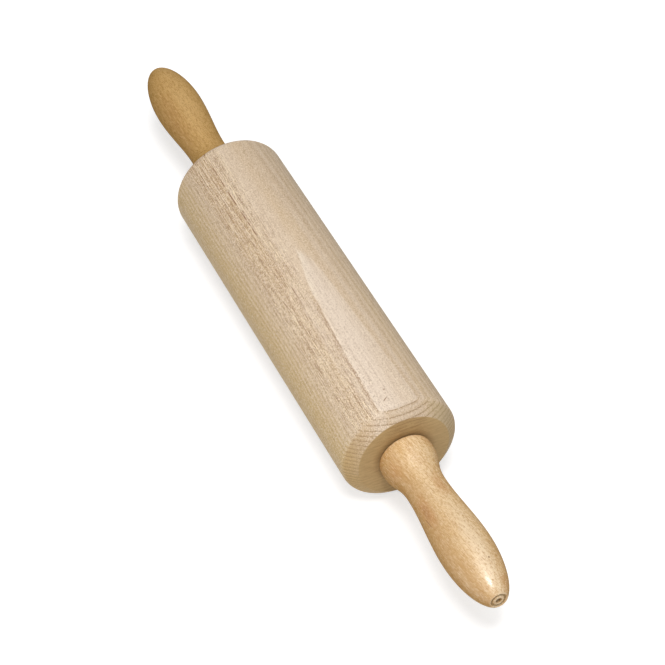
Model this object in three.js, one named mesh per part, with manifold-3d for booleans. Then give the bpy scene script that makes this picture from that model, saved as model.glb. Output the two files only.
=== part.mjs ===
// A revolving rolling pin: a turned beech barrel that runs on two ball bearings round a steel axle,
// with a lacquered beech handle driven onto each end of the axle.
// Millimetres, +Z up. The pin lies along X and rests on the worktop, Z = 0, at the middle of its barrel.
import * as THREE from "three";
import { mergeVertices } from "three/addons/utils/BufferGeometryUtils.js";
import Module from "manifold-3d";

const wasm = await Module();
wasm.setup();

// Barrel
const barrelDiameter = 65;
const barrelLength = 234;
const chamferLength = 5.8; // along the axis
const chamferDepth = 6.8; // towards the axis
const edgeSoftening = 1.6; // worn-in corner between cylinder and chamfer
const boreRelief = 2; // air between the bore and the turning inner race
const bearingRecess = 0.6; // how far the bearing's face lies below the barrel's end face

// Handle, measured from the face of its foot
const handleLength = 104.2;
const footDiameter = 28.2;
const beadDiameter = 29.6;
const beadAt = 4.2;
const waistDiameter = 21.9;
const waistAt = 25.3;
const gripDiameter = 27.9;
const gripAt = 69.3;
// How long the outline keeps level at each crest, as a share of the sweep it begins or ends
const beadLevel = 0.4;
const waistLevelIn = 0.53;
const waistLevelOut = 0.33;
const gripLevel = 0.35;

// Flat on the tip, with the groove and the hole that the lathe's ring centre leaves
const tipFlatDiameter = 9.8;
const centreRingDiameter = 7.2; // at the bottom of the groove
const centreRingWidth = 2;
const centreRingDepth = 0.8;
const centreHoleDiameter = 3;
const centreHoleDepth = 0.5; // straight part
const centrePointDepth = 2; // tapered part

// Axle
const axleDiameter = 8;
const axleGrip = 45; // length inside each handle
const axleLeadIn = 1;
const barbCount = 4;
const barbPitch = 6;
const barbDepth = 0.5;

// Ball bearing
const ballDiameter = 3.968;
const ballSpacing = 2.5; // least room between two balls
const raceWall = 1.35; // at the bottom of the groove
const grooveDepth = 0.6;
const cageWall = 1.9;
const cageWeb = 0.55; // behind each pocket
const cagePocketLip = 0.8; // cage ahead of the balls' centres
const sealThickness = 0.55;
const sealInset = 0.1;

// Clearances
const runningGap = 0.8; // between handle foot and barrel
const fitGap = 0.1; // between pieces that are pressed, glued or clamped together
const ballGap = 0.12; // round each ball, in the grooves and in its pocket
const cageGap = 0.2; // between cage and seal
const sealGap = 0.25; // between a seal and the inner race
const axleEndGap = 1; // glue room at the bottom of the handle's bore

// Sides of the turned solids
const barrelSides = 48;
const handleSides = 28;
const axleSides = 20;
const bearingSides = 28;
const pocketSides = 14;
const ballSides = 10;
const ballBands = 7;

// Straight steps in each curve of an outline
const cornerSteps = 3;
const handleSteps = 5;
const grooveSteps = 3;
const straightSteps = 1;

// Sizes that follow
const barrelRadius = barrelDiameter / 2;
const barrelHalf = barrelLength / 2;
const axleRadius = axleDiameter / 2;
const ballRadius = ballDiameter / 2;
const grooveRadius = ballRadius + ballGap;
const raceBore = axleRadius + fitGap;
const innerGrooveFloor = raceBore + raceWall;
const pitchRadius = innerGrooveFloor + grooveRadius;
const outerGrooveFloor = pitchRadius + grooveRadius;
const bearingRadius = outerGrooveFloor + raceWall;
const innerShoulder = innerGrooveFloor + grooveDepth;
const outerShoulder = outerGrooveFloor - grooveDepth;
const cageBack = grooveRadius + cageWeb;
const bearingHalfWidth = cageBack + cageGap + sealThickness + sealInset;
const sealSeatDepth = sealThickness + sealInset + fitGap;
const sealRadius = outerShoulder + grooveDepth / 2;
const ballCount = Math.floor((2 * Math.PI * pitchRadius) / (ballDiameter + ballSpacing));
const seatRadius = bearingRadius + fitGap;
const seatDepth = 2 * bearingHalfWidth + bearingRecess + fitGap;
const boreRadius = innerShoulder + boreRelief;
const bearingAt = barrelHalf - bearingRecess - bearingHalfWidth;
const footAt = barrelHalf + runningGap;

// Materials
const rawBeech = new THREE.MeshStandardMaterial({ color: 0xd8bf9f, roughness: 0.75, metalness: 0 });
const lacqueredBeech = new THREE.MeshStandardMaterial({ color: 0xcda468, roughness: 0.25, metalness: 0 });
const axleSteel = new THREE.MeshStandardMaterial({ color: 0xb4b6b8, roughness: 0.35, metalness: 1 });
const bearingSteel = new THREE.MeshStandardMaterial({ color: 0xc9cbcd, roughness: 0.15, metalness: 1 });
const cageNylon = new THREE.MeshStandardMaterial({ color: 0xe6dfcc, roughness: 0.55, metalness: 0 });
const sealRubber = new THREE.MeshStandardMaterial({ color: 0x26272a, roughness: 0.8, metalness: 0 });

// A solid turned about X. The outline's first coordinate is the radius and its second the place along X.
// It starts and ends on the axis, or closes on itself. A flat side faces straight down.
function turned(outline, sides, curveSteps) {
  const geometry = new THREE.LatheGeometry(outline.getPoints(curveSteps), sides, Math.PI / sides);
  return geometry.rotateZ(-Math.PI / 2);
}

// A plain turned ring between two radii and two places along X.
function ring(inner, outer, from, to, sides) {
  const outline = new THREE.Path();
  outline.moveTo(inner, from).lineTo(outer, from).lineTo(outer, to).lineTo(inner, to).lineTo(inner, from);
  return turned(outline, sides, straightSteps);
}

// A closed geometry as a solid for cutting, and a cut solid as a geometry again.
function toSolid(geometry) {
  const bare = geometry.clone().deleteAttribute("normal").deleteAttribute("uv");
  const merged = mergeVertices(bare, 1e-4);
  const mesh = new wasm.Mesh({
    numProp: 3,
    vertProperties: new Float32Array(merged.attributes.position.array),
    triVerts: new Uint32Array(merged.index.array),
  });
  return new wasm.Manifold(mesh);
}

function toGeometry(solid) {
  const { vertProperties, triVerts } = solid.getMesh();
  const geometry = new THREE.BufferGeometry();
  geometry.setAttribute("position", new THREE.BufferAttribute(vertProperties, 3));
  geometry.setIndex(new THREE.BufferAttribute(triVerts, 1));
  geometry.computeVertexNormals();
  return geometry;
}

function piece(name, geometry, material) {
  const mesh = new THREE.Mesh(geometry, material);
  mesh.name = name;
  return mesh;
}

// The barrel: a cylinder with broad end chamfers, a through bore and a bearing seat in each end.
function barrel() {
  const outline = new THREE.Path();
  const seatFloor = barrelHalf - seatDepth;
  const faceRadius = barrelRadius - chamferDepth;
  const slope = Math.hypot(chamferLength, chamferDepth);
  const softLength = (edgeSoftening * chamferLength) / slope;
  const softDepth = (edgeSoftening * chamferDepth) / slope;
  const edgeAt = barrelHalf - chamferLength;
  outline.moveTo(boreRadius, -seatFloor);
  outline.lineTo(seatRadius, -seatFloor);
  outline.lineTo(seatRadius, -barrelHalf);
  outline.lineTo(faceRadius, -barrelHalf);
  outline.lineTo(barrelRadius - softDepth, -edgeAt - softLength);
  outline.quadraticCurveTo(barrelRadius, -edgeAt, barrelRadius, -edgeAt + edgeSoftening);
  outline.lineTo(barrelRadius, edgeAt - edgeSoftening);
  outline.quadraticCurveTo(barrelRadius, edgeAt, barrelRadius - softDepth, edgeAt + softLength);
  outline.lineTo(faceRadius, barrelHalf);
  outline.lineTo(seatRadius, barrelHalf);
  outline.lineTo(seatRadius, seatFloor);
  outline.lineTo(boreRadius, seatFloor);
  outline.lineTo(boreRadius, -seatFloor);
  return turned(outline, barrelSides, cornerSteps);
}

// The axle: a round bar whose ends are barbed, so that each handle stays on when it is driven home.
function axle() {
  const half = footAt + axleGrip;
  const outline = new THREE.Path();
  const root = axleRadius - barbDepth;
  const barbsFrom = half - axleLeadIn - barbCount * barbPitch;
  outline.moveTo(0, -half).lineTo(axleRadius - axleLeadIn, -half).lineTo(axleRadius, -half + axleLeadIn);
  for (let barb = barbCount; barb > 0; barb--) {
    const wide = -barbsFrom - barb * barbPitch;
    outline.lineTo(axleRadius, wide + barbPitch / 2).lineTo(root, wide + barbPitch / 2);
    outline.lineTo(axleRadius, wide + barbPitch);
  }
  for (let barb = 0; barb < barbCount; barb++) {
    const wide = barbsFrom + barb * barbPitch;
    outline.lineTo(axleRadius, wide).lineTo(root, wide + barbPitch / 2);
    outline.lineTo(axleRadius, wide + barbPitch / 2);
  }
  outline.lineTo(axleRadius, half - axleLeadIn).lineTo(axleRadius - axleLeadIn, half).lineTo(0, half);
  return turned(outline, axleSides, straightSteps);
}

// The handle: foot, bead, waist and grip in one sweep, with a domed end that stops at the lathe's flat.
function handle() {
  const outline = new THREE.Path();
  const axleBore = axleRadius + fitGap;
  const boreDepth = axleGrip + axleEndGap;
  const [footRadius, beadRadius, waistRadius] = [footDiameter / 2, beadDiameter / 2, waistDiameter / 2];
  const [gripRadius, flatRadius, holeRadius] = [gripDiameter / 2, tipFlatDiameter / 2, centreHoleDiameter / 2];
  const domeLength = (handleLength - gripAt) / Math.sqrt(1 - (flatRadius / gripRadius) ** 2);
  const domeEnd = Math.acos(flatRadius / gripRadius);
  const neckSweep = waistAt - beadAt;
  const gripSweep = gripAt - waistAt;
  const ringRadius = centreRingDiameter / 2;
  const ringHalf = centreRingWidth / 2;
  outline.moveTo(0, boreDepth).lineTo(axleBore, boreDepth).lineTo(axleBore, 0);
  outline.lineTo(footRadius, 0);
  outline.quadraticCurveTo(beadRadius, 0, beadRadius, beadAt);
  const leaveBead = beadAt + beadLevel * neckSweep;
  const reachWaist = waistAt - waistLevelIn * neckSweep;
  outline.bezierCurveTo(beadRadius, leaveBead, waistRadius, reachWaist, waistRadius, waistAt);
  const leaveWaist = waistAt + waistLevelOut * gripSweep;
  const reachGrip = gripAt - gripLevel * gripSweep;
  outline.bezierCurveTo(waistRadius, leaveWaist, gripRadius, reachGrip, gripRadius, gripAt);
  outline.absellipse(0, gripAt, gripRadius, domeLength, 0, domeEnd, false, 0);
  outline.lineTo(ringRadius + ringHalf, handleLength);
  outline.lineTo(ringRadius, handleLength - centreRingDepth);
  outline.lineTo(ringRadius - ringHalf, handleLength);
  outline.lineTo(holeRadius, handleLength).lineTo(holeRadius, handleLength - centreHoleDepth);
  outline.lineTo(0, handleLength - centreHoleDepth - centrePointDepth);
  return turned(outline, handleSides, handleSteps);
}

// Half the angle that a race's groove takes up, from its floor to its shoulder.
const grooveSpan = Math.acos(1 - grooveDepth / grooveRadius);

function innerRace() {
  const outline = new THREE.Path();
  outline.moveTo(raceBore, bearingHalfWidth).lineTo(raceBore, -bearingHalfWidth);
  outline.lineTo(innerShoulder, -bearingHalfWidth);
  outline.absarc(pitchRadius, 0, grooveRadius, Math.PI + grooveSpan, Math.PI - grooveSpan, true);
  outline.lineTo(innerShoulder, bearingHalfWidth).lineTo(raceBore, bearingHalfWidth);
  return turned(outline, bearingSides, grooveSteps);
}

// The outer race also has a step at each face, where a seal snaps in.
function outerRace() {
  const outline = new THREE.Path();
  const seatFrom = bearingHalfWidth - sealSeatDepth;
  const sealSeat = sealRadius + fitGap;
  outline.moveTo(bearingRadius, -bearingHalfWidth).lineTo(bearingRadius, bearingHalfWidth);
  outline.lineTo(sealSeat, bearingHalfWidth).lineTo(sealSeat, seatFrom).lineTo(outerShoulder, seatFrom);
  outline.absarc(pitchRadius, 0, grooveRadius, grooveSpan, -grooveSpan, true);
  outline.lineTo(outerShoulder, -seatFrom).lineTo(sealSeat, -seatFrom);
  outline.lineTo(sealSeat, -bearingHalfWidth).lineTo(bearingRadius, -bearingHalfWidth);
  return turned(outline, bearingSides, grooveSteps);
}

function seal() {
  const from = bearingHalfWidth - sealInset - sealThickness;
  return ring(innerShoulder + sealGap, sealRadius, from, from + sealThickness, bearingSides);
}

function spacer() {
  const from = barrelHalf - bearingRecess + fitGap;
  return ring(raceBore, innerShoulder, from, footAt - fitGap, bearingSides);
}

// Where a ball sits round the axis, in the plane of the bearing's middle.
function ballPlace(index) {
  const angle = (2 * Math.PI * index) / ballCount;
  return new THREE.Vector3(0, pitchRadius * Math.sin(angle), pitchRadius * Math.cos(angle));
}

// The cage: a crown with an open pocket for each ball.
function cage() {
  const inner = pitchRadius - cageWall / 2;
  let solid = toSolid(ring(inner, inner + cageWall, -cageBack, cagePocketLip, bearingSides));
  const up = new THREE.Vector3(0, 1, 0);
  for (let index = 0; index < ballCount; index++) {
    const outward = ballPlace(index).normalize();
    const pocket = new THREE.CylinderGeometry(grooveRadius, grooveRadius, 2 * pitchRadius, pocketSides);
    pocket.translate(0, pitchRadius, 0);
    pocket.applyQuaternion(new THREE.Quaternion().setFromUnitVectors(up, outward));
    solid = solid.subtract(toSolid(pocket));
  }
  return toGeometry(solid);
}

function ball(index) {
  const geometry = new THREE.SphereGeometry(ballRadius, ballSides, ballBands);
  return geometry.translate(...ballPlace(index).toArray());
}

// One end of the pin: bearing, spacer and handle, built for the +X end.
function end(side) {
  const group = new THREE.Group();
  const bearing = new THREE.Group();
  bearing.position.x = bearingAt;
  bearing.add(piece(`${side}_bearing_outer_race`, outerRace(), bearingSteel));
  bearing.add(piece(`${side}_bearing_inner_race`, innerRace(), bearingSteel));
  bearing.add(piece(`${side}_bearing_outboard_seal`, seal(), sealRubber));
  bearing.add(piece(`${side}_bearing_inboard_seal`, seal().rotateZ(Math.PI), sealRubber));
  bearing.add(piece(`${side}_ball_cage`, cage(), cageNylon));
  for (let index = 0; index < ballCount; index++) {
    bearing.add(piece(`${side}_ball_${index + 1}`, ball(index), bearingSteel));
  }
  const grip = piece(`${side}_handle`, handle(), lacqueredBeech);
  grip.position.x = footAt;
  group.add(bearing, piece(`${side}_spacer`, spacer(), cageNylon), grip);
  return group;
}

const rollingPin = new THREE.Group();
rollingPin.position.z = barrelRadius * Math.cos(Math.PI / barrelSides);
const leftEnd = end("left");
leftEnd.rotation.z = Math.PI;
rollingPin.add(piece("roller_barrel", barrel(), rawBeech));
rollingPin.add(piece("axle_rod", axle(), axleSteel));
rollingPin.add(leftEnd, end("right"));

export default rollingPin;
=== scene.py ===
import math

import bmesh
import bpy
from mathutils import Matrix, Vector
from mathutils.geometry import interpolate_bezier


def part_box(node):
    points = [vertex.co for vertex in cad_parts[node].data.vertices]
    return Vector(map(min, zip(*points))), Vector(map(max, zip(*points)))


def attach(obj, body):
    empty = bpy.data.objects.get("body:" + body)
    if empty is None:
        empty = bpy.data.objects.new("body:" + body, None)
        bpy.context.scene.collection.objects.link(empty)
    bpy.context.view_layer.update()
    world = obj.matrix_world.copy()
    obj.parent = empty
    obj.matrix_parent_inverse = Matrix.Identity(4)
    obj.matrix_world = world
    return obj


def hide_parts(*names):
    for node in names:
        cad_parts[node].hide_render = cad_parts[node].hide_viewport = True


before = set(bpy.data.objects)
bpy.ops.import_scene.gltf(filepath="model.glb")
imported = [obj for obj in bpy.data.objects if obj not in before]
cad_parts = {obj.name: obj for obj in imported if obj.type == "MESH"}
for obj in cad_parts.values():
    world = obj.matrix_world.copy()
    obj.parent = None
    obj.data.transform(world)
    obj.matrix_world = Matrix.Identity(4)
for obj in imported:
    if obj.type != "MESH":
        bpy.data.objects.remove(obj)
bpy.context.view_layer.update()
mm = 0.001
barrelLow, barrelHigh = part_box("roller_barrel")
axisHeight = (barrelLow.z + barrelHigh.z) / 2  # the pin lies along X at this height
print("frame loaded:", len(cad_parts), "nodes, axis at", round(axisHeight / mm, 2), "mm")

scene = bpy.context.scene
scene.view_settings.view_transform = "Standard"


# small helpers for objects
def addObject(name, data):
    made = bpy.data.objects.new(name, data)
    scene.collection.objects.link(made)
    return made


def addMesh(name, mesh):
    data = bpy.data.meshes.new(name)
    mesh.to_mesh(data)
    mesh.free()
    return addObject(name, data)


def pointAt(made, spot, aim):
    made.location = spot
    made.rotation_euler = (Vector(aim) - Vector(spot)).to_track_quat("-Z", "Y").to_euler()


# camera, found by fitting the turned outline to the silhouette
studioCamera = {
    "spot": (0.8761, -0.3882, 0.9629),
    "aim": (0.0212, 0.0037, 0.0324),
    "lens": 133.7,
    "sensor": 36,  # width in mm, as the lens
}


def addCamera():
    data = bpy.data.cameras.new("studioCamera")
    data.sensor_fit = "HORIZONTAL"
    data.sensor_width = studioCamera["sensor"]
    data.lens = studioCamera["lens"]
    scene.camera = addObject("studioCamera", data)
    pointAt(scene.camera, studioCamera["spot"], studioCamera["aim"])


addCamera()
print("camera set")


# small helpers for node trees
def colour(red, green, blue):
    # screen values from 0 to 255 become linear ones
    def linear(value):
        value /= 255
        return value / 12.92 if value <= 0.04045 else ((value + 0.055) / 1.055) ** 2.4
    return (linear(red), linear(green), linear(blue), 1)


def newMaterial(name):
    material = bpy.data.materials.new(name)
    material.use_nodes = True
    tree = material.node_tree
    return material, tree, tree.nodes["Principled BSDF"]


def put(tree, value, socket):
    if isinstance(value, bpy.types.NodeSocket):
        tree.links.new(value, socket)
    else:
        socket.default_value = value


def add(tree, kind, inputs=None, **settings):
    made = tree.nodes.new("ShaderNode" + kind)
    for key, value in settings.items():
        setattr(made, key, value)
    for key, value in (inputs or {}).items():
        put(tree, value, made.inputs[key])
    return made


def calc(tree, operation, *values):
    made = add(tree, "Math", operation=operation)
    for index, value in enumerate(values):
        put(tree, value, made.inputs[index])
    return made.outputs[0]


def chain(tree, operation, first, *others):
    for other in others:
        first = calc(tree, operation, first, other)
    return first


def fade(tree, value, fromLow, fromHigh, toLow=0.0, toHigh=1.0, smooth=True):
    made = add(tree, "MapRange", interpolation_type="SMOOTHSTEP" if smooth else "LINEAR")
    for index, item in enumerate((value, fromLow, fromHigh, toLow, toHigh)):
        put(tree, item, made.inputs[index])
    return made.outputs[0]


def blend(tree, amount, first, second):
    made = add(tree, "Mix", data_type="RGBA")
    for index, item in ((0, amount), (6, first), (7, second)):  # the colour sockets are the last two
        put(tree, item, made.inputs[index])
    return made.outputs[2]


def level(tree, field, *limits):
    # a field as it is, times a number, or faded between two of its values
    if len(limits) > 1:
        return fade(tree, field, *limits)
    return calc(tree, "MULTIPLY", field, limits[0]) if limits else field


def product(tree, fields, parts):
    return chain(tree, "MULTIPLY", *[level(tree, fields[name], *limits) for name, *limits in parts])


def tinted(tree, base, tones, fields, rows):
    # every row lays one tone over the base, as strong as the product of its parts
    for tone, *parts in rows:
        base = blend(tree, product(tree, fields, parts), base, tones[tone])
    return base


def hypotenuse(tree, first, second):
    squares = [calc(tree, "POWER", side, 2.0) for side in (first, second)]
    return calc(tree, "SQRT", calc(tree, "ADD", *squares))


def streaks(tree, vector, length, width, detail, roughness, place=0.0):
    # noise drawn out along the grain: length and width are the size of one streak
    scale = (1 / length, 1 / width, 1 / width)
    turned = add(tree, "Mapping", {"Vector": vector, "Location": (place, place, place), "Scale": scale})
    settings = {"Vector": turned.outputs[0], "Scale": 1.0, "Detail": detail, "Roughness": roughness}
    return add(tree, "TexNoise", settings).outputs[0]


def dashes(tree, vector, length, width, height, place):
    # spindle-shaped spots drawn out along the grain: distance from the middle of the nearest one
    scale = (1 / length, 1 / width, 1 / height)
    turned = add(tree, "Mapping", {"Vector": vector, "Location": (place, place, place), "Scale": scale})
    cells = add(tree, "TexVoronoi", {"Vector": turned.outputs[0], "Scale": 1.0, "Randomness": 1.0})
    return cells.outputs["Distance"], cells.outputs["Color"]


def rayFlecks(tree, vector, wood, shift=0.0):
    # dark flecks of several sizes laid over each other, some cells left empty
    flecks = 0.0
    for length, width, reach, place in wood["flecks"]:
        spot, tone = dashes(tree, vector, length, width, wood["fleckHeight"], shift + place)
        tone = add(tree, "SeparateColor", {"Color": tone}).outputs[0]
        filled = fade(tree, tone, *wood["fleckShare"])
        fleck = calc(tree, "MULTIPLY", fade(tree, spot, reach, wood["fleckCore"]), filled)
        flecks = calc(tree, "MAXIMUM", flecks, fleck)
    return flecks


def grainSpace(tree, place, turn):
    # coordinates of the timber: x along the grain, y along the growth layers, z out through them
    position = add(tree, "TexCoord").outputs["Object"]
    placed = {"Vector": position, "Location": place, "Rotation": turn}
    turned = add(tree, "Mapping", placed, vector_type="TEXTURE").outputs[0]
    return turned, add(tree, "SeparateXYZ", {"Vector": turned}).outputs


def patch(tree, place, size, turn=(0, 0, 0)):
    # distance from a place, in units of a spot's own length, width and height
    position = add(tree, "TexCoord").outputs["Object"]
    placed = {"Vector": position, "Location": place, "Rotation": turn, "Scale": size}
    turned = add(tree, "Mapping", placed, vector_type="TEXTURE")
    return add(tree, "VectorMath", {"Vector": turned.outputs[0]}, operation="LENGTH").outputs["Value"]


def marked(tree, base, tone, marks, edge=1.0, full=0.4):
    for place, size, turn, strength in marks:
        far = patch(tree, place, size, turn)
        base = blend(tree, fade(tree, far, edge, full, 0.0, strength), base, tone)
    return base


def addBump(tree, shader, height, strength, distance):
    bump = add(tree, "Bump", {"Height": height, "Strength": strength, "Distance": distance})
    tree.links.new(bump.outputs[0], shader.inputs["Normal"])
    return bump.outputs[0]


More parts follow.
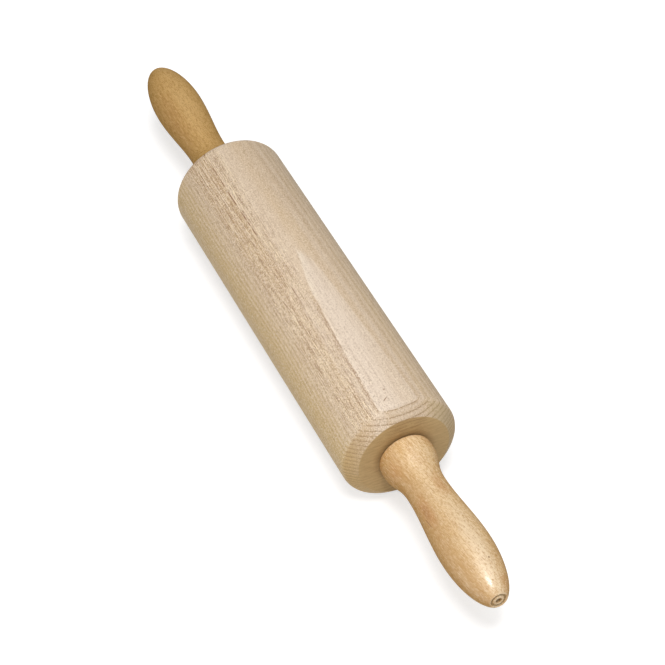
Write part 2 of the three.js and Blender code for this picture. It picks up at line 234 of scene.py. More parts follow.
# raw beech of the barrel, measured along it, across its ridge (left is minus) and out from its axis
barrelWood = {
    "ridge": 2.0,  # degrees from straight up towards +Y, where the growth layers lie flat to the surface
    "sloped": (0.25, 0.6),  # how far a surface turns to the ends, from side to chamfer
    "slope": 0.0099,  # how fast the layers climb along the barrel
    "leftLean": (-60 * mm, 30 * mm, 0.0, 0.07),  # how the layers lean on the left, from and to
    "endLean": (30 * mm, 112 * mm, 0.0, -0.14),  # the same, towards the right end
    "rightLean": -0.015,  # and on the right
    "topLayer": 32.16 * mm,  # inner edge of the outermost layer, from the axis
    "ringPitch": 2.4 * mm,  # thickness of one layer
    "wideRing": (0.0, 2.9 * mm, 0.0, 0.15),  # extra width of the second layer, in rings
    "ringTone": (0.4, 0.6),  # how much the layers' lines differ in strength, and the least of it
    "wander": 0.5 * mm,  # slow sway of the layers
    "feather": 0.28 * mm,  # ragged edges of the layers
    "lineEdge": (0.04, 0.16, 0.22),  # a layer's dark line is full to, and ends at, also on slopes; in rings
    "lineStart": (0.0, 0.02),  # and how fast it sets in
    "crownLevel": 32.32 * mm,  # where the outermost layer, the pale band, begins, from the axis
    "crownSlope": 0.011,  # how fast it climbs along the barrel
    "crownLean": -0.0523,  # and across it
    "crownBow": (-1.7 * mm, 14 * mm, 0.55 * mm),  # middle, half width and drop of its sides
    "crownEdge": (2 * mm, 6 * mm, 0.28 * mm, 0.056 * mm),  # ragged on the left, crisp on the right
    "dull": [("across", -6 * mm, 2 * mm), ("across", 8 * mm, 5 * mm),
             ("along", 60 * mm, 95 * mm, 0.0, 0.35)],  # less pale strip of the band at the right end
    "dashRow": (-15.6 * mm, 5 * mm),  # place of a row of dark dashes, and how far it sways
    "flecks": [  # length, width, reach and place of the ray flecks
        (9 * mm, 0.46 * mm, 0.36, 5.2),
        (5 * mm, 0.42 * mm, 0.36, 9.4),
        (16 * mm, 0.48 * mm, 0.34, 2.7),
    ],
    "fleckHeight": 1.6 * mm,
    "fleckCore": 0.16,  # a fleck is darkest within this reach
    "fleckShare": (0.4, 0.7),  # how many cells hold one
    "fleckCrowd": (0.93, 0.07),  # how many in the belt, and elsewhere
    "roughness": (0.3, 0.7, 0.5, 0.66),  # follows the fibres
    "specular": 0.2,
    "relief": (0.4, 0.5),  # of the fibres, and how deep the flecks are
    "bump": (0.12, 0.08 * mm),  # strength and distance
    "tones": {
        "body": colour(218, 194, 164),
        "pale": colour(231, 215, 199),
        "warm": colour(217, 187, 134),
        "brown": colour(192, 158, 116),
        "late": colour(146, 112, 78),
        "fleck": colour(146, 106, 76),
        "glint": colour(240, 224, 203),
        "stroke": colour(241, 222, 190),
        "shade": colour(146, 136, 126),
        "chamfer": colour(198, 167, 124),
        "chamferRight": colour(200, 180, 142),
        "low": colour(208, 174, 116),
        "end": colour(191, 160, 113),
        "endLate": colour(142, 106, 64),
    },
    "streaks": {  # length and width of one streak, and detail, roughness and place of its noise
        "sway": (120 * mm, 11 * mm, 2.0, 0.5, 3.1),
        "ragged": (14 * mm, 0.9 * mm, 2.0, 0.6, 8.2),
        "breaks": (20 * mm, 1.1 * mm, 2.0, 0.6, 4.6),
        "clouds": (70 * mm, 9 * mm, 3.0, 0.55, 7.7),
        "fibres": (6 * mm, 0.4 * mm, 2.0, 0.65, 1.3),
        "specks": (0.9 * mm, 0.65 * mm, 1.0, 0.5, 15.1),
        "rows": (45 * mm, 1.9 * mm, 2.0, 0.5, 11.3),
        "strokes": (17 * mm, 0.38 * mm, 1.0, 0.6, 21.7),
        "grit": (0.8 * mm, 0.5 * mm, 1.0, 0.5, 19.3),
        "strands": (90 * mm, 0.7 * mm, 1.0, 0.5, 13.6),
        "dashed": (11 * mm, 2 * mm, 2.0, 0.6, 17.9),
    },
    "pores": (5 * mm, 0.8 * mm, 2.0, 0.6, 6.1),  # the same, drawn out along the layers on the end faces
    "masks": {  # each is the largest of its rows, and a row the product of its parts
        "cut": [[("steep", 0.998, 0.93)]],  # layers show on the flanks and chamfers and fade on the ridge
        "onBand": [[("crown", 0.04 * mm, -0.05 * mm)]],
        "bare": [[("crown", -0.05 * mm, 0.15 * mm)], [("sloped",)]],  # all but the pale band
        "belt": [[("across", -3 * mm, -13 * mm), ("across", -32 * mm, -22 * mm)]],  # of flecks
        "strip": [[("across", -18.5 * mm, -15 * mm), ("across", -9 * mm, -11 * mm),
                   ("along", -10 * mm, 40 * mm)]],  # paler wood between belt and band
        "waves": [[("cut",), ("belt", 0.0, 1.0, 1.0, 0.5), ("bare",),
                   ("across", -32.3 * mm, -30.5 * mm, 0.3, 1.0)]],  # where layers tint the wood
        "early": [[("tide", 0.3, 0.03), ("waves",)]],  # pale middle of each layer
        "late": [[("tide", 0.2, 0.5), ("waves",), ("phase", 0.0, 0.1)]],  # and its darker end
        "broken": [[("breaks", 0.38, 0.56, 0.3, 1.0)]],  # gaps in the dark lines
        "lineTone": [[("ringTone",), ("broken",)], [("sloped", 0.9)]],
        "lineLevel": [[("line",), ("lineTone",), ("cut",)]],
        "lineSide": [[("across", 4 * mm, -4 * mm, 0.04, 0.25), ("phase", 0.4, 0.8)], [("sloped", 0.9)]],
        "edge": [[("onBand",), ("across", 5 * mm, -8 * mm, 0.42, 0.52), ("clear",)]],  # the band: real pale wood, painted paler towards its left as a painted sheen
        "veil": [[("crown", 0.1 * mm, -0.4 * mm), ("across", 8 * mm, -2 * mm, 0.0, 0.2)]],  # its soft border
        "dim": [[("across", -9 * mm, -3 * mm), ("along", -10 * mm, -70 * mm, 0.0, 0.055)],
                [("onBand",), ("along", 30 * mm, 80 * mm, 0.0, 0.04)]],  # a little darker at both ends
        "crowd": [[("belt",), ("crown", 0.0, 0.3 * mm), ("rows", 0.36, 0.62, 0.55, 1.0),
                   ("strip", 0.0, 1.0, 1.0, 0.65), ("sloped", 0.0, 1.0, 1.0, 0.15)]],  # density of flecks
        "banded": [[("onBand", 0.55)], [("crowd",), ("along", -20 * mm, -60 * mm)]],  # for long strands
        "sides": [[("across", -15 * mm, -30 * mm, 0.08, 0.8)], [("across", 5 * mm, 23 * mm, 0.0, 0.8)],
                  [("out", 4 * mm, -8 * mm, 0.0, 0.9)]],  # flanks and underside
        "slant": [[("endward", 0.3, 0.75), ("sides",)]],  # chamfers, but for their tops
        "grooves": [[("lineLevel", 0.5)], [("late", 0.35)]],  # layers on the chamfers and end faces
        "endFace": [[("endward", 0.82, 0.97)]],
    },
    "sideTints": [  # over body: a tone, and the parts whose product is its strength
        ("warm", ("across", -33 * mm, -25 * mm, 1.0, 0.0)),  # low on the left
        ("warm", ("across", 8 * mm, 30 * mm, 0.0, 0.5)),  # low on the right
        ("brown", ("across", -14 * mm, -18 * mm), ("across", -30 * mm, -21 * mm),
         ("along", 30 * mm, -60 * mm, 0.12, 0.8)),  # left end of the belt
        ("late", ("across", 22 * mm, 26 * mm, 0.0, 0.2)),  # right flank darker: painted shade
        ("warm", ("clouds", 0.5, 0.72, 0.0, 0.2)),
        ("pale", ("across", -16 * mm, -10 * mm), ("across", 2 * mm, -5 * mm, 0.0, 0.45),
         ("along", 45 * mm, -20 * mm, 0.0, 0.55)),  # between belt and band at the left end
        ("pale", ("bandTone",)),  # the band itself, with painted sheen towards its left
        ("late", ("crown", 0.0, 0.04 * mm), ("crown", 2.4 * mm, 0.5 * mm), ("across", 2 * mm, 5 * mm),
         ("along", 50 * mm, 95 * mm, 0.04, 0.11)),  # right of the band
        ("late", ("dim",)),
        ("pale", ("strip", 0.38)),
        ("glint", ("crown", 0.0, -0.03 * mm), ("crown", -0.25 * mm, -0.08 * mm),
         ("across", 0.0, -2 * mm, 0.0, 0.6)),  # bright left edge of the band
        ("pale", ("early", 0.3)),
        ("late", ("late", 0.16)),
        ("late", ("lineLevel",), ("lineSide",)),
        ("fleck", ("crown", -0.02 * mm, 0.08 * mm), ("crown", 0.8 * mm, 0.2 * mm),
         ("across", -1 * mm, -4 * mm), ("broken",), ("along", 0.0, 45 * mm, 0.0, 0.55),
         ("endward", 0.3, 0.1)),  # rusty line beside the band
        ("late", ("fibres", 0.5, 0.78, 0.0, 0.3)),  # fine fibres and pores all over
        ("glint", ("fibres", 0.48, 0.22, 0.0, 0.3)),
        ("late", ("specks", 0.5, 0.76, 0.0, 0.45), ("belt", 0.0, 1.0, 0.8, 1.15)),
        ("glint", ("specks", 0.5, 0.24, 0.0, 0.8), ("belt", 0.0, 1.0, 0.8, 1.15)),
        ("fleck", ("strokes", 0.5, 0.72, 0.0, 0.6), ("crowd",)),  # strokes and grit of the belt
        ("stroke", ("strokes", 0.5, 0.28, 0.0, 1.0), ("crowd",)),
        ("fleck", ("grit", 0.5, 0.76, 0.0, 0.6), ("crowd",)),
        ("stroke", ("grit", 0.5, 0.24, 0.0, 1.0), ("crowd",)),
        ("late", ("strands", 0.5, 0.74, 0.0, 0.2), ("banded",)),  # faint long strands
        ("glint", ("strands", 0.5, 0.26, 0.0, 0.5), ("banded",)),
        ("fleck", ("flecks", 0.74)),
        ("fleck", ("strayed", 0.46 * mm, 0.16 * mm), ("along", 30 * mm, -10 * mm, 0.15, 1.0),
         ("dashed", 0.43, 0.56, 0.0, 0.9)),  # row of longer dark dashes
        ("shade", ("sloped",), ("aside", 14 * mm, 5 * mm, 0.0, 0.12)),  # top of the chamfers
    ],
    "chamferTints": [  # over chamfer
        ("end", ("across", -14 * mm, -24 * mm, 0.0, 0.75)),
        ("chamferRight", ("across", 6 * mm, 16 * mm, 0.0, 0.8)),
        ("low", ("out", 16 * mm, 2 * mm, 0.0, 0.65)),
        ("low", ("out", 0.0, -20 * mm, 0.0, 0.9)),
        ("endLate", ("grooves",), ("across", 8 * mm, 18 * mm, 1.0, 0.55),
         ("out", -8 * mm, -20 * mm, 1.0, 0.4)),
        ("endLate", ("specks", 0.45, 0.72, 0.0, 0.3)),
    ],
    "endTints": [  # over end
        ("endLate", ("grooves", 0.75)),
        ("endLate", ("pores", 0.47, 0.7, 0.0, 0.35)),
        ("warm", ("pores", 0.5, 0.3, 0.0, 0.3)),
        ("endLate", ("specks", 0.5, 0.76, 0.0, 0.3)),
        ("warm", ("aside", 5 * mm, 18 * mm, 0.0, 0.3)),
        ("warm", ("across", 6 * mm, 18 * mm, 0.0, 0.22)),
        ("endLate", ("radius", 18.5 * mm, 14.8 * mm, 0.0, 0.35)),  # painted shade round the running gap, where the handle's foot shades the end face
    ],
    "marks": [  # place, size, turn and strength of small dark dents
        ((104.9 * mm, -5.6 * mm, 64.4 * mm), (2.4 * mm, 0.42 * mm, 1 * mm),
         (0, 0, math.radians(-55)), 0.8),
        ((98.7 * mm, -3.2 * mm, 64.8 * mm), (0.65 * mm, 0.6 * mm, 1 * mm), (0, 0, 0), 0.8),
    ],
}


def growthLayers(tree, wood, fields):
    # nearly flat sheets that climb and lean along the barrel, and wander a little
    along, across, out = fields["along"], fields["across"], fields["out"]
    sway = calc(tree, "SUBTRACT", fields["sway"], 0.5)
    ragged = calc(tree, "SUBTRACT", fields["ragged"], 0.5)
    lean = calc(tree, "ADD", fade(tree, along, *wood["leftLean"]), fade(tree, along, *wood["endLean"]))
    growth = calc(tree, "MULTIPLY_ADD", along, wood["slope"], out)
    growth = calc(tree, "MULTIPLY_ADD", calc(tree, "MINIMUM", across, 0.0), lean, growth)
    growth = calc(tree, "MULTIPLY_ADD", calc(tree, "MAXIMUM", across, 0.0), wood["rightLean"], growth)
    growth = calc(tree, "MULTIPLY_ADD", sway, wood["wander"], growth)
    growth = calc(tree, "MULTIPLY_ADD", ragged, wood["feather"], growth)
    depth = calc(tree, "SUBTRACT", wood["topLayer"], growth)
    rings = calc(tree, "DIVIDE", depth, wood["ringPitch"])
    phase = calc(tree, "SUBTRACT", rings, fade(tree, depth, *wood["wideRing"]))
    share = calc(tree, "FRACT", phase)
    ringTone = add(tree, "TexWhiteNoise", {"W": calc(tree, "FLOOR", phase)}, noise_dimensions="1D")
    fields["phase"] = phase
    fields["tide"] = calc(tree, "ABSOLUTE", calc(tree, "SUBTRACT", share, 0.5))
    fields["ringTone"] = calc(tree, "MULTIPLY_ADD", ringTone.outputs["Value"], *wood["ringTone"])
    # every layer ends in a thin dark line, thicker where it is cut at a slant
    full, thin, thick = wood["lineEdge"]
    lineEnd = fade(tree, fields["sloped"], 0.0, 1.0, thin, thick)
    line = fade(tree, share, full, lineEnd, 1.0, 0.0)
    fields["line"] = calc(tree, "MULTIPLY", line, fade(tree, share, *wood["lineStart"]))
    # the outermost layer is left only as a pale band along the ridge, wider towards the right end
    middle, half, drop = wood["crownBow"]
    bow = fade(tree, calc(tree, "ABSOLUTE", calc(tree, "SUBTRACT", across, middle)), 0.0, half, 0.0, drop)
    crown = calc(tree, "MULTIPLY_ADD", along, wood["crownSlope"], out)
    crown = calc(tree, "MULTIPLY_ADD", across, wood["crownLean"], crown)
    crown = calc(tree, "MULTIPLY_ADD", sway, wood["wander"], calc(tree, "ADD", crown, bow))
    crown = calc(tree, "MULTIPLY_ADD", ragged, fade(tree, across, *wood["crownEdge"]), crown)
    fields["crown"] = calc(tree, "SUBTRACT", wood["crownLevel"], crown)
    fields["clear"] = calc(tree, "SUBTRACT", 1.0, product(tree, fields, wood["dull"]))
    # how far a point is from the row of dashes
    row, stray = wood["dashRow"]
    strayed = calc(tree, "MULTIPLY_ADD", sway, stray, calc(tree, "SUBTRACT", across, row))
    fields["strayed"] = calc(tree, "ABSOLUTE", strayed)


def rawBeech():
    wood = barrelWood
    tones = wood["tones"]
    ridge = math.radians(wood["ridge"])
    material, tree, shader = newMaterial("rawBeech")
    vector, (along, across, out) = grainSpace(tree, (0, 0, axisHeight), (-ridge, 0, 0))
    fields = {"along": along, "across": across, "out": out}
    fields["aside"] = calc(tree, "ABSOLUTE", across)
    fields["radius"] = hypotenuse(tree, across, out)
    for name, sizes in wood["streaks"].items():
        fields[name] = streaks(tree, vector, *sizes)
    layered = add(tree, "CombineXYZ", {"X": across, "Y": out, "Z": along}).outputs[0]
    fields["pores"] = streaks(tree, layered, *wood["pores"])
    # how steeply the surface cuts the layers, and how far it faces the barrel's ends
    normal = {"Vector": add(tree, "TexCoord").outputs["Normal"], "Axis": (1, 0, 0), "Angle": ridge}
    normal = add(tree, "VectorRotate", normal, rotation_type="AXIS_ANGLE").outputs[0]
    facing = add(tree, "SeparateXYZ", {"Vector": normal}).outputs
    fields["steep"] = calc(tree, "ABSOLUTE", facing[2])
    fields["endward"] = calc(tree, "ABSOLUTE", facing[0])
    fields["sloped"] = fade(tree, fields["endward"], *wood["sloped"])
    growthLayers(tree, wood, fields)
    for name, rows in wood["masks"].items():
        fields[name] = chain(tree, "MAXIMUM", *[product(tree, fields, parts) for parts in rows])
    fields["bandTone"] = calc(tree, "ADD", fields["edge"], fields["veil"])
    crowd = calc(tree, "MULTIPLY_ADD", fields["crowd"], *wood["fleckCrowd"])
    fields["flecks"] = calc(tree, "MULTIPLY", rayFlecks(tree, vector, wood), crowd)
    # the side, then the chamfers and end faces, which show the ends of the fibres
    base = tinted(tree, tones["body"], tones, fields, wood["sideTints"])
    chamfer = tinted(tree, tones["chamfer"], tones, fields, wood["chamferTints"])
    base = blend(tree, fields["slant"], base, chamfer)
    end = tinted(tree, tones["end"], tones, fields, wood["endTints"])
    base = blend(tree, fields["endFace"], base, end)
    base = marked(tree, base, tones["fleck"], wood["marks"])
    tree.links.new(base, shader.inputs["Base Color"])
    tree.links.new(fade(tree, fields["fibres"], *wood["roughness"]), shader.inputs["Roughness"])
    shader.inputs["Specular IOR Level"].default_value = wood["specular"]
    raised, sunk = [calc(tree, "MULTIPLY", fields[name], factor)
                    for name, factor in zip(("fibres", "flecks"), wood["relief"])]
    addBump(tree, shader, calc(tree, "SUBTRACT", raised, sunk), *wood["bump"])
    return material


# honey lacquer over beech on the handles
handleWood = {
    "ringPitch": 2.4 * mm,
    "wander": 5 * mm,  # slow sway of the growth layers
    "heart": 20 * mm,  # how far the middle of the layers' pattern lies beside the axis
    "lineFades": ((0.0, 0.5, 1.0, 0.0), (0.95, 1.0)),  # dark end of a layer, in rings
    "flecks": [  # length, width, reach and place of the ray flecks
        (6 * mm, 0.62 * mm, 0.36, 1.0),
        (4 * mm, 0.56 * mm, 0.36, 5.5),
    ],
    "fleckHeight": 1.6 * mm,
    "fleckCore": 0.16,  # a fleck is darkest within this reach
    "fleckShare": (0.15, 0.55),  # how many cells hold one
    "glints": (5 * mm, 0.56 * mm, 1.6 * mm, 8.0),  # length, width, height and place of pale dashes
    "streaks": {  # length and width of one streak, and detail, roughness and place of its noise
        "sway": (60 * mm, 12 * mm, 2.0, 0.5, 0.0),
        "clouds": (30 * mm, 8 * mm, 3.0, 0.55, 2.0),
        "fibres": (9 * mm, 0.45 * mm, 2.0, 0.65, 4.0),
        "specks": (0.9 * mm, 0.75 * mm, 1.0, 0.5, 11.0),
    },
    "underTints": [  # over body: a tone, and the parts whose product is its strength
        ("deep", ("clouds", 0.5, 0.72, 0.0, 0.3)),
        ("light", ("clouds", 0.5, 0.28, 0.0, 0.35)),
        ("deep", ("sideways", -0.2, -0.85), ("shade",)),  # painted shade, darker on the left flank
        ("light", ("sideways", -0.5, 0.1), ("shade",), ("sideways", 0.65, 0.2),
         ("gripward", 140 * mm, 185 * mm, 0.4, 1.3)),  # painted sheen, paler on top, most on the grip
        ("deep", ("sideways", 0.6, 0.95), ("shade",)),  # painted shade, deeper again on the right flank
    ],
    "grainTints": [  # over the stains
        ("deep", ("line", 0.18)),
        ("deep", ("fibres", 0.5, 0.76, 0.0, 0.5)),
        ("light", ("fibres", 0.5, 0.24, 0.0, 0.5)),
        ("deep", ("specks", 0.5, 0.76, 0.0, 0.55)),
        # pale specks fade on the left flank along with its painted shade
        ("light", ("specks", 0.5, 0.24), ("sideways", -0.8, -0.2, 0.15, 0.5)),
        ("fleck", ("flecks", 0.55)),
        ("light", ("glint", 0.38, 0.16, 0.0, 0.4)),
    ],
    "stainEdge": (1.6, 1.1, 0.3),  # how ragged a stain is, where it begins and where it is full
    "atTip": (219 * mm, 220.5 * mm),  # where the tip's marks begin
    "grooveDirtAndShade": (0.75 * mm, 0.2 * mm, 0.0, 0.5),  # dirt and painted shade in the ring of the lathe's centre
    "holeDirtAndShade": (1.7 * mm, 1.3 * mm, 0.0, 0.6),  # and in its hole
    "glossFacing": (0.15, 0.6),  # the coat shows where the surface faces the eye
    "glossFoot": (122 * mm, 150 * mm, 0.45, 1.0),  # duller at the foot
    "glossTip": (204 * mm, 214 * mm, 1.0, 0.86),  # and a little at the tip
    "glossDirtAndShade": (0.0, 0.4, 1.0, 0.0),  # the coat is dull under the dirt and painted shade
    "polish": (208 * mm, 214 * mm, 0.42, 0.27),  # coat roughness, smoothed by hands at the tip
    "coatIor": 1.75,
    "roughness": (0.3, 0.7, 0.42, 0.54),  # follows the fibres
    "bump": (0.2, 0.08 * mm),  # strength and distance
    "right": {
        "turn": (math.radians(40), math.radians(2), math.radians(12)),  # of the grain
        "place": 0.4,  # of the noise
        "gloss": 1.0,
        "shade": 0.6,  # how much the flanks differ from the top: strength of the painted shade on the flanks and the painted sheen on top
        "tones": {
            "body": colour(226, 191, 141),
            "deep": colour(187, 139, 76),
            "fleck": colour(180, 126, 66),
            "light": colour(242, 218, 182),
            "stain": colour(196, 142, 88),
            "mark": colour(136, 78, 34),
            "dirtAndShade": colour(108, 80, 38),
        },
        "stains": [  # place, size and strength of orange-brown patches
            ((162 * mm, -9.8 * mm, 39.6 * mm), (12 * mm, 3.6 * mm, 5 * mm), 0.75),
            ((151 * mm, 3.5 * mm, 42.5 * mm), (11 * mm, 4 * mm, 6 * mm), 0.55),
            ((131 * mm, -13.0 * mm, 37 * mm), (8 * mm, 6 * mm, 9 * mm), 0.5),
            ((217 * mm, 5.5 * mm, 38 * mm), (9 * mm, 4 * mm, 5 * mm), 0.5),
        ],
        "marks": [  # place, size, turn and strength of small dark marks
            ((162.5 * mm, -9.9 * mm, 39.6 * mm), (7 * mm, 2.6 * mm, 2.6 * mm), (0, 0, 0), 0.16),
            ((168.5 * mm, -11.6 * mm, 38.2 * mm), (5.5 * mm, 2 * mm, 0.5 * mm),
             (0, math.radians(-13), 0), 0.42),
            ((204.3 * mm, 3.1 * mm, 44.4 * mm), (0.65 * mm, 0.6 * mm, 1 * mm), (0, 0, 0), 0.9),
        ],
    },
    "left": {
        "turn": (math.radians(-30), math.radians(-2), math.radians(4)),
        "place": 6.3,
        "gloss": 0.5,
        "shade": 0.25,
        "tones": {
            "body": colour(200, 160, 100),
            "deep": colour(156, 117, 60),
            "fleck": colour(158, 112, 60),
            "light": colour(212, 176, 120),
            "stain": colour(172, 122, 68),
            "mark": colour(134, 76, 42),
            "dirtAndShade": colour(108, 80, 38),
        },
        "stains": [((-170 * mm, -9 * mm, 38 * mm), (30 * mm, 6 * mm, 10 * mm), 0.3)],
        "marks": [((-188 * mm, 9 * mm, 40 * mm), (0.55 * mm, 0.55 * mm, 1 * mm), (0, 0, 0), 0.75)],
    },
}


def lacqueredBeech(side):
    wood, own = handleWood, handleWood[side]
    tones, shift = own["tones"], own["place"]
    material, tree, shader = newMaterial(side + "LacqueredBeech")
    vector, axes = grainSpace(tree, (0, wood["heart"], axisHeight), own["turn"])
    fields = {"shade": own["shade"], "gripward": calc(tree, "ABSOLUTE", axes[0])}
    for name, (*sizes, place) in wood["streaks"].items():
        fields[name] = streaks(tree, vector, *sizes, shift + place)
    sway = calc(tree, "SUBTRACT", fields["sway"], 0.5)
    growth = calc(tree, "MULTIPLY_ADD", sway, wood["wander"], axes[2])
    share = calc(tree, "FRACT", calc(tree, "DIVIDE", growth, wood["ringPitch"]))
    fields["line"] = calc(tree, "MAXIMUM", *[fade(tree, share, *limits) for limits in wood["lineFades"]])
    # the normal's sideways part, which paints shade on the flanks and sheen on top
    normal = add(tree, "TexCoord").outputs["Normal"]
    fields["sideways"] = add(tree, "SeparateXYZ", {"Vector": normal}).outputs[1]
    fields["flecks"] = rayFlecks(tree, vector, wood, shift)
    *sizes, place = wood["glints"]
    fields["glint"] = dashes(tree, vector, *sizes, shift + place)[0]
    base = tinted(tree, tones["body"], tones, fields, wood["underTints"])
    ragged, begins, full = wood["stainEdge"]
    for place, size, strength in own["stains"]:
        cloudy = calc(tree, "SUBTRACT", fields["clouds"], 0.5)
        edge = calc(tree, "MULTIPLY_ADD", cloudy, ragged, patch(tree, place, size))
        base = blend(tree, fade(tree, edge, begins, full, 0.0, strength), base, tones["stain"])
    base = tinted(tree, base, tones, fields, wood["grainTints"])
    base = marked(tree, base, tones["mark"], own["marks"])
    # lacquer and dust gather in the marks of the lathe's centre; the dark painted in their groove and hole
    # is partly dirt, partly painted shade
    position = add(tree, "SeparateXYZ", {"Vector": add(tree, "TexCoord").outputs["Object"]}).outputs
    outward = calc(tree, "ABSOLUTE", position[0])
    radius = hypotenuse(tree, position[1], calc(tree, "SUBTRACT", position[2], axisHeight))
    groove = calc(tree, "ABSOLUTE", calc(tree, "SUBTRACT", radius, handleShape["ring"][0]))
    inGroove, inHole = fade(tree, groove, *wood["grooveDirtAndShade"]), fade(tree, radius, *wood["holeDirtAndShade"])
    dirtAndShade = calc(tree, "MAXIMUM", inGroove, inHole)
    dirtAndShade = calc(tree, "MULTIPLY", fade(tree, outward, *wood["atTip"]), dirtAndShade)
    base = blend(tree, dirtAndShade, base, tones["dirtAndShade"])
    tree.links.new(base, shader.inputs["Base Color"])
    tree.links.new(fade(tree, fields["fibres"], *wood["roughness"]), shader.inputs["Roughness"])
    shader.inputs["Specular IOR Level"].default_value = 0.0
    # the lacquer is polished by hands at the tip and duller elsewhere
    turnedAway = add(tree, "LayerWeight", {"Blend": 0.5}).outputs["Facing"]
    gloss = chain(tree, "MULTIPLY", fade(tree, turnedAway, *wood["glossFacing"], own["gloss"], 0.0),
                  fade(tree, outward, *wood["glossFoot"]), fade(tree, outward, *wood["glossTip"]),
                  fade(tree, dirtAndShade, *wood["glossDirtAndShade"]))
    tree.links.new(gloss, shader.inputs["Coat Weight"])
    tree.links.new(fade(tree, outward, *wood["polish"]), shader.inputs["Coat Roughness"])
    shader.inputs["Coat IOR"].default_value = wood["coatIor"]
    bumped = addBump(tree, shader, fields["fibres"], *wood["bump"])
    tree.links.new(bumped, shader.inputs["Coat Normal"])
    return material


# turned pieces: an outline of (place along X, radius) spun round the pin's axis
turning = {
    "merge": 0.001 * mm,  # points closer than this are one
    "reach": 0.01 * mm,  # how near to a ring an edge has to be
    "softSteps": 3,  # segments of a softened edge
    "sharp": math.radians(32),  # edges that turn further stay sharp
}


def onRing(edge, x, radius):
    for vert in edge.verts:
        if abs(vert.co.x - x) > turning["reach"]:
            return False
        if abs(math.hypot(vert.co.y, vert.co.z - axisHeight) - radius) > turning["reach"]:
            return False
    return True


def turnPiece(name, outline, steps, softEdges):
    mesh = bmesh.new()
    points = [mesh.verts.new((x, 0, axisHeight + radius)) for x, radius in outline]
    edges = [mesh.edges.new(pair) for pair in zip(points, points[1:])]
    bmesh.ops.spin(mesh, geom=points + edges, cent=(0, 0, axisHeight), axis=(1, 0, 0), angle=2 * math.pi,
                   steps=steps, use_merge=True)
    bmesh.ops.remove_doubles(mesh, verts=mesh.verts, dist=turning["merge"])
    bmesh.ops.recalc_face_normals(mesh, faces=mesh.faces)
    for size, rings in softEdges:
        chosen = [edge for edge in mesh.edges if any(onRing(edge, x, radius) for x, radius in rings)]
        bmesh.ops.bevel(mesh, geom=chosen, offset=size, offset_type="OFFSET", affect="EDGES", profile=0.5,
                        segments=turning["softSteps"], material=-1, clamp_overlap=True)
    for face in mesh.faces:
        face.smooth = True
    for edge in mesh.edges:
        if len(edge.link_faces) == 2 and edge.calc_face_angle(0) > turning["sharp"]:
            edge.smooth = False
    return addMesh(name, mesh)


# the barrel
barrelShape = {
    "half": 117 * mm,  # half its length
    "radius": axisHeight,
    "chamferLength": 5.8 * mm,
    "chamferDepth": 6.8 * mm,
    "seatDepth": 7.708 * mm,  # for a bearing in each end
    "seatRadius": 11.108 * mm,
    "boreRadius": 8.05 * mm,
    "softCorner": 1.7 * mm,  # between side and chamfer
    "softRim": 0.35 * mm,  # round the end face and the seat
    "steps": 192,
}


def makeBarrel():
    shape = barrelShape
    half, radius, seat, bore = (shape[key] for key in ("half", "radius", "seatRadius", "boreRadius"))
    face = radius - shape["chamferDepth"]
    edgeAt = half - shape["chamferLength"]
    floor = half - shape["seatDepth"]
    rightEnd = [(edgeAt, radius), (half, face), (half, seat), (floor, seat), (floor, bore)]
    leftEnd = [(-x, height) for x, height in reversed(rightEnd)]
    outline = leftEnd + rightEnd + leftEnd[:1]
    corners = [(end * edgeAt, radius) for end in (-1, 1)]
    rims = [(end * half, height) for height in (face, seat) for end in (-1, 1)]
    soft = [(shape["softCorner"], corners), (shape["softRim"], rims)]
    piece = turnPiece("barrelWood", outline, shape["steps"], soft)
    piece.data.materials.append(rawBeech())
    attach(piece, "barrel")
    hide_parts("roller_barrel")


# the handles, alike at both ends
handleShape = {
    "foot": 117.8 * mm,  # from the middle of the pin
    "length": 104.2 * mm,
    "footRadius": 14.1 * mm,
    "bead": (4.2 * mm, 14.8 * mm),  # place from the foot, and radius
    "beadPull": 2 / 3,  # how full the rounding from foot to bead is
    "waist": (25.3 * mm, 10.95 * mm),
    "grip": (69.3 * mm, 13.95 * mm),
    "levels": (0.4, 0.53, 0.33, 0.35),  # how long the curve stays level: bead, waist, waist and grip
    "flat": 4.9 * mm,  # radius of the tip's flat
    "ring": (3.6 * mm, 1.0 * mm, 0.8 * mm),  # radius, half width and depth of the groove in it
    "hole": (1.5 * mm, 0.5 * mm, 2.0 * mm),  # radius, depth, and depth of its point
    "bore": (4.1 * mm, 46 * mm),  # radius and depth for the axle
    "softTip": 0.14 * mm,
    "softFloor": 0.3 * mm,  # bottom of the groove
    "softFoot": 0.3 * mm,
    "beadSteps": 12,
    "curveSteps": 24,
    "domeSteps": 28,
    "steps": 128,
}


def levelCurve(start, leave, reach, end, steps):
    span = end.x - start.x
    leaving, reaching = start + Vector((leave * span, 0)), end - Vector((reach * span, 0))
    return interpolate_bezier(start, leaving, reaching, end, steps)


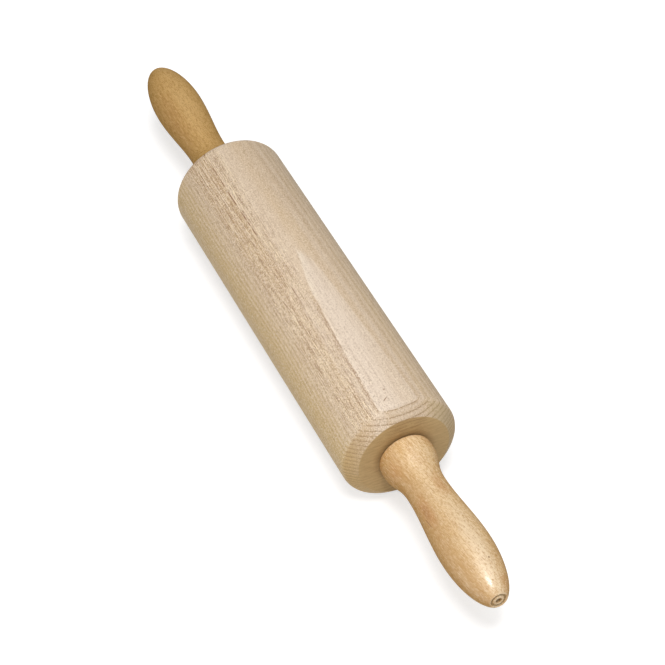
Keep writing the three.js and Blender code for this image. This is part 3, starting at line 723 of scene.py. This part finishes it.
def handleOutline():
    shape = handleShape
    bead, waist, grip = (Vector(shape[key]) for key in ("bead", "waist", "grip"))
    leaveBead, reachWaist, leaveWaist, reachGrip = shape["levels"]
    length, flat = shape["length"], shape["flat"]
    ring, ringHalf, ringDepth = shape["ring"]
    hole, holeDepth, pointDepth = shape["hole"]
    bore, boreDepth = shape["bore"]
    foot = Vector((0, shape["footRadius"]))
    corner = Vector((0, bead.y))
    outline = [Vector((boreDepth, 0)), Vector((boreDepth, bore)), Vector((0, bore))]
    leaving, reaching = foot.lerp(corner, shape["beadPull"]), bead.lerp(corner, shape["beadPull"])
    outline += interpolate_bezier(foot, leaving, reaching, bead, shape["beadSteps"])
    outline += levelCurve(bead, leaveBead, reachWaist, waist, shape["curveSteps"])[1:]
    outline += levelCurve(waist, leaveWaist, reachGrip, grip, shape["curveSteps"])[1:]
    dome = (length - grip.x) / math.sqrt(1 - (flat / grip.y) ** 2)
    domeEnd = math.acos(flat / grip.y)
    for step in range(1, shape["domeSteps"] + 1):
        angle = domeEnd * step / shape["domeSteps"]
        outline.append(Vector((grip.x + dome * math.sin(angle), grip.y * math.cos(angle))))
    tip = [(0, ring + ringHalf), (ringDepth, ring), (0, ring - ringHalf),
           (0, hole), (holeDepth, hole), (holeDepth + pointDepth, 0)]  # depth and radius
    return outline + [Vector((length - depth, radius)) for depth, radius in tip]


def makeHandle(side, end):
    shape = handleShape
    outline = [(end * (shape["foot"] + point.x), point.y) for point in handleOutline()]
    rim = end * (shape["foot"] + shape["length"])
    ring, ringHalf, ringDepth = shape["ring"]
    tipEdges = [(rim, shape["flat"]), (rim, ring - ringHalf), (rim, shape["hole"][0])]
    soft = [(shape["softTip"], tipEdges), (shape["softFloor"], [(rim - end * ringDepth, ring)]),
            (shape["softFoot"], [(end * shape["foot"], shape["footRadius"])])]
    piece = turnPiece(side + "HandleWood", outline, shape["steps"], soft)
    piece.data.materials.append(lacqueredBeech(side))
    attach(piece, "handles_and_axle")
    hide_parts(side + "_handle")


makeBarrel()
makeHandle("left", -1)
makeHandle("right", 1)
print("barrel and handles turned")

# metal, nylon and rubber of the hidden bearings and the axle
insideFinish = {
    "drawnSteel": {
        "tone": colour(196, 198, 200),
        "marks": (30 * mm, 0.3 * mm, 3.0, 0.6),  # length, width, and detail and roughness of the noise
        "dark": 0.72,  # how dark the marks are
        "roughness": (0.3, 0.45),  # between the marks and on them
        "metal": True,
    },
    "groundSteel": {
        "tone": colour(214, 216, 218),
        "marks": (0.4 * mm, 0.4 * mm, 3.0, 0.6),
        "dark": 0.72,
        "roughness": (0.14, 0.29),
        "metal": True,
    },
    "naturalNylon": {
        "tone": colour(230, 222, 204),
        "marks": (0.8 * mm, 0.8 * mm, 3.0, 0.6),
        "dark": 0.8,
        "roughness": (0.5, 0.62),
        "metal": False,
    },
    "sealRubber": {
        "tone": colour(44, 45, 48),
        "marks": (0.5 * mm, 0.5 * mm, 3.0, 0.6),
        "dark": 0.8,
        "roughness": (0.72, 0.84),
        "metal": False,
    },
    "bump": (0.2, 0.02 * mm),  # of moulded pieces
}


def insideMaterial(name):
    # tone and roughness vary with one pattern of marks
    finish = insideFinish[name]
    tone = finish["tone"]
    darkTone = tuple(value * finish["dark"] for value in tone[:3]) + (1,)
    material, tree, shader = newMaterial(name)
    marks = streaks(tree, add(tree, "TexCoord").outputs["Object"], *finish["marks"])
    tree.links.new(blend(tree, fade(tree, marks, 0.35, 0.7), tone, darkTone), shader.inputs["Base Color"])
    tree.links.new(fade(tree, marks, 0.3, 0.7, *finish["roughness"]), shader.inputs["Roughness"])
    if finish["metal"]:
        shader.inputs["Metallic"].default_value = 1
    else:
        addBump(tree, shader, marks, *insideFinish["bump"])
    return material


def dressInside():
    raceMetal, cageNylon = insideMaterial("groundSteel"), insideMaterial("naturalNylon")
    finishes = {"axle_rod": insideMaterial("drawnSteel"), "_seal": insideMaterial("sealRubber"),
                "_cage": cageNylon, "_spacer": cageNylon}  # by the ends of the nodes' names
    for name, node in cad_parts.items():
        if name == "roller_barrel" or name.endswith("_handle"):
            continue
        chosen = [finish for ending, finish in finishes.items() if name.endswith(ending)]
        node.data.materials.clear()
        node.data.materials.append(chosen[0] if chosen else raceMetal)


dressInside()
print("bearings dressed")

# floor, world and lamps
studio = {
    "floorSize": 12.0,
    "floorDrop": 0.1 * mm,  # keeps the floor clear of the barrel
    "floor": colour(204, 204, 204),
    "floorRoughness": 0.9,
    "floorGlow": (0.6, 2.4, 0.6, 1.0),  # pure white from 2.4 m outwards, shadows show within 0.6 m
    "world": 0.2,
    "lampAim": (0, 0, 0.03),
    "lamps": [  # name, spot, size and power
        ("keyLamp", (0.7, -0.3, 1.9), 0.7, 20.8),
        ("topLamp", (0.0, 0.28, 1.7), 1.2, 6.5),
        ("fillLamp", (1.4, -0.9, 1.1), 1.4, 6.0),
        ("sideLamp", (0.6, -1.5, 1.2), 1.4, 5.2),
    ],
}
white = (1, 1, 1, 1)


def addFloor():
    mesh = bmesh.new()
    bmesh.ops.create_grid(mesh, x_segments=1, y_segments=1, size=studio["floorSize"] / 2)
    bmesh.ops.translate(mesh, verts=mesh.verts, vec=(0, 0, -studio["floorDrop"]))
    floor = addMesh("studioFloor", mesh)
    material, tree, shader = newMaterial("studioPaper")
    shader.inputs["Base Color"].default_value = studio["floor"]
    shader.inputs["Roughness"].default_value = studio["floorRoughness"]
    shader.inputs["Specular IOR Level"].default_value = 0.0
    path = add(tree, "LightPath").outputs
    seen = chain(tree, "MAXIMUM", path["Is Camera Ray"], path["Is Glossy Ray"], path["Is Transmission Ray"])
    shader.inputs["Emission Color"].default_value = white
    position = add(tree, "TexCoord").outputs["Object"]
    far = add(tree, "VectorMath", {"Vector": position}, operation="LENGTH").outputs["Value"]
    glow = fade(tree, far, *studio["floorGlow"])
    tree.links.new(calc(tree, "MULTIPLY", seen, glow), shader.inputs["Emission Strength"])
    floor.data.materials.append(material)


def addWorld():
    world = bpy.data.worlds.new("studioWorld")
    world.use_nodes = True
    tree = world.node_tree
    background = tree.nodes["Background"]
    path = add(tree, "LightPath").outputs
    seen = calc(tree, "MAXIMUM", path["Is Camera Ray"], path["Is Transmission Ray"])
    background.inputs["Color"].default_value = white
    tree.links.new(fade(tree, seen, 0.0, 1.0, studio["world"], 1.0, False), background.inputs["Strength"])
    scene.world = world


def addLamp(name, spot, size, power):
    data = bpy.data.lights.new(name, "AREA")
    data.shape = "DISK"
    data.size = size
    data.energy = power
    pointAt(addObject(name, data), spot, studio["lampAim"])


addFloor()
addWorld()
for lamp in studio["lamps"]:
    addLamp(*lamp)
print("studio lit")
